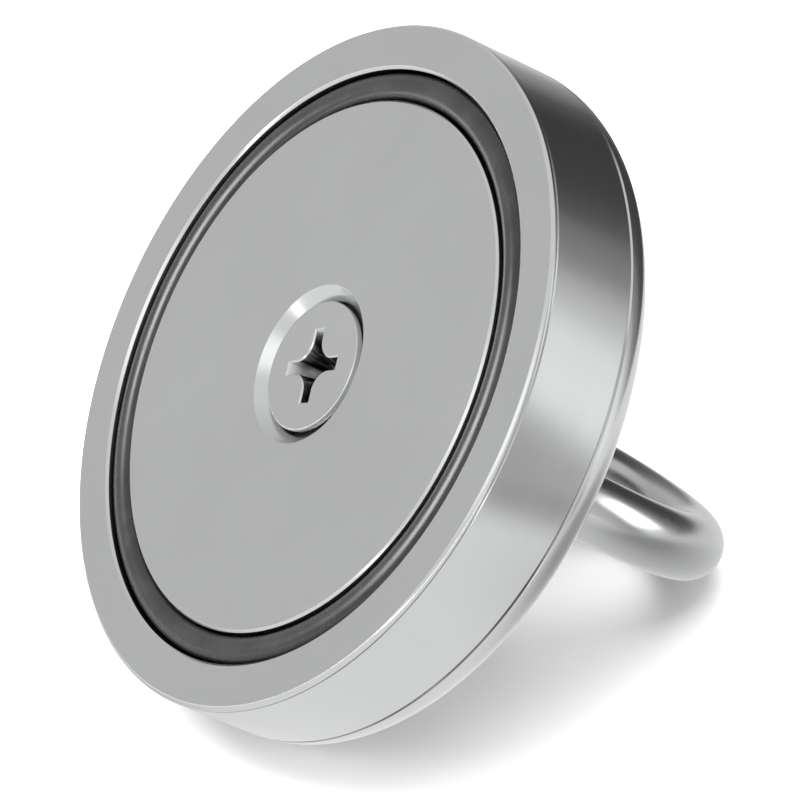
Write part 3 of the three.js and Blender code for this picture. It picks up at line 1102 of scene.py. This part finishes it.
def make_card(name, azimuth, elevation, distance, width, height, level, soft):
    """A glowing rectangle with soft edges, turned towards the object."""
    material, tree, mask_socket, glow = glow_material(name)
    glow.inputs["Strength"].default_value = level
    split = tree.nodes.new("ShaderNodeSeparateXYZ")
    tree.links.new(tree.nodes.new("ShaderNodeTexCoord").outputs["Object"], split.inputs[0])
    from_middle = shader_math(tree, "ABSOLUTE", split.outputs["X"])
    across = soft_edge(tree, from_middle, width / 2 - soft, width / 2)
    from_middle = shader_math(tree, "ABSOLUTE", split.outputs["Y"])
    along = soft_edge(tree, from_middle, height / 2 - soft, height / 2)
    tree.links.new(shader_math(tree, "MULTIPLY", across, along), mask_socket)
    mesh = bpy.data.meshes.new(name)
    mesh.from_pydata(rectangle(width / 2, height / 2), [], [(0, 1, 2, 3)])
    mesh.materials.append(material)
    obj = bpy.data.objects.new(name, mesh)
    bpy.context.scene.collection.objects.link(obj)
    toward = direction(azimuth, elevation)
    obj.matrix_world = toward.to_track_quat("Z", "Y").to_matrix().to_4x4()
    obj.location = toward * distance + Vector((0, 0, CARD_LIFT))
    only_in_reflections(obj)


def make_floor_disc(name, x, y, radius, height, level, soft):
    """A glowing disc with a soft edge, lying over the floor."""
    material, tree, mask_socket, glow = glow_material(name)
    glow.inputs["Strength"].default_value = level
    reach = tree.nodes.new("ShaderNodeVectorMath")
    reach.operation = "LENGTH"
    tree.links.new(tree.nodes.new("ShaderNodeTexCoord").outputs["Object"], reach.inputs[0])
    tree.links.new(soft_edge(tree, reach.outputs["Value"], radius - soft, radius), mask_socket)
    mesh = bpy.data.meshes.new(name)
    corners = []
    for step in range(DISC_STEPS):
        turn = 2 * math.pi * step / DISC_STEPS
        corners.append((radius * math.cos(turn), radius * math.sin(turn), 0))
    mesh.from_pydata(corners, [], [list(range(DISC_STEPS))])
    mesh.materials.append(material)
    obj = bpy.data.objects.new(name, mesh)
    bpy.context.scene.collection.objects.link(obj)
    obj.location = (x, y, height)
    only_in_reflections(obj)


# Lamps that reflections don't show: azimuth, elevation, distance, size, power
LAMPS = {
    "overhead": (0, 90, 1.3, 1.6, 29.0),
    "key": (-35, 52, 1.3, 0.7, 20.0),
    "fill": (30, 32, 1.2, 0.8, 7.0),
}

# Lamps that shine on one piece only and give it its highlight, in the same terms
RING_GLEAM = (-26, 33, 0.6, 0.24, 2.5)
EYE_GLEAM = (132, 24, 0.15, 0.08, 0.05)


def area_light(name, azimuth, elevation, distance, size, power, only_on=None):
    """A square lamp turned towards the object, which may shine on one piece only."""
    data = bpy.data.lights.new(name, "AREA")
    data.size = size
    data.energy = power
    light = bpy.data.objects.new(name, data)
    bpy.context.scene.collection.objects.link(light)
    toward = direction(azimuth, elevation)
    light.matrix_world = toward.to_track_quat("Z", "Y").to_matrix().to_4x4()
    light.location = toward * distance
    light.visible_camera = False
    if only_on is None:
        light.visible_glossy = False
    else:
        group = bpy.data.collections.new(name + "_receivers")
        group.objects.link(only_on)
        light.light_linking.receiver_collection = group


def make_lights(black_ring, eye):
    for name, sizes in LAMPS.items():
        area_light(name, *sizes)
    area_light("ring_gleam", *RING_GLEAM, black_ring)
    area_light("eye_gleam", *EYE_GLEAM, eye)
    make_curtain()
    make_card("key_card", *KEY_CARD)
    for name, sizes in FLOOR_DISCS.items():
        make_floor_disc(name, *sizes)


make_camera()
make_pot()
make_plate()
ring = make_gap_ring()
make_screw()
make_flat_washer()
make_spring_washer()
eye = make_eye()
finish_carried_nodes()
make_floor()
make_world()
make_lights(ring, eye)
bpy.context.scene.view_settings.view_transform = "Standard"
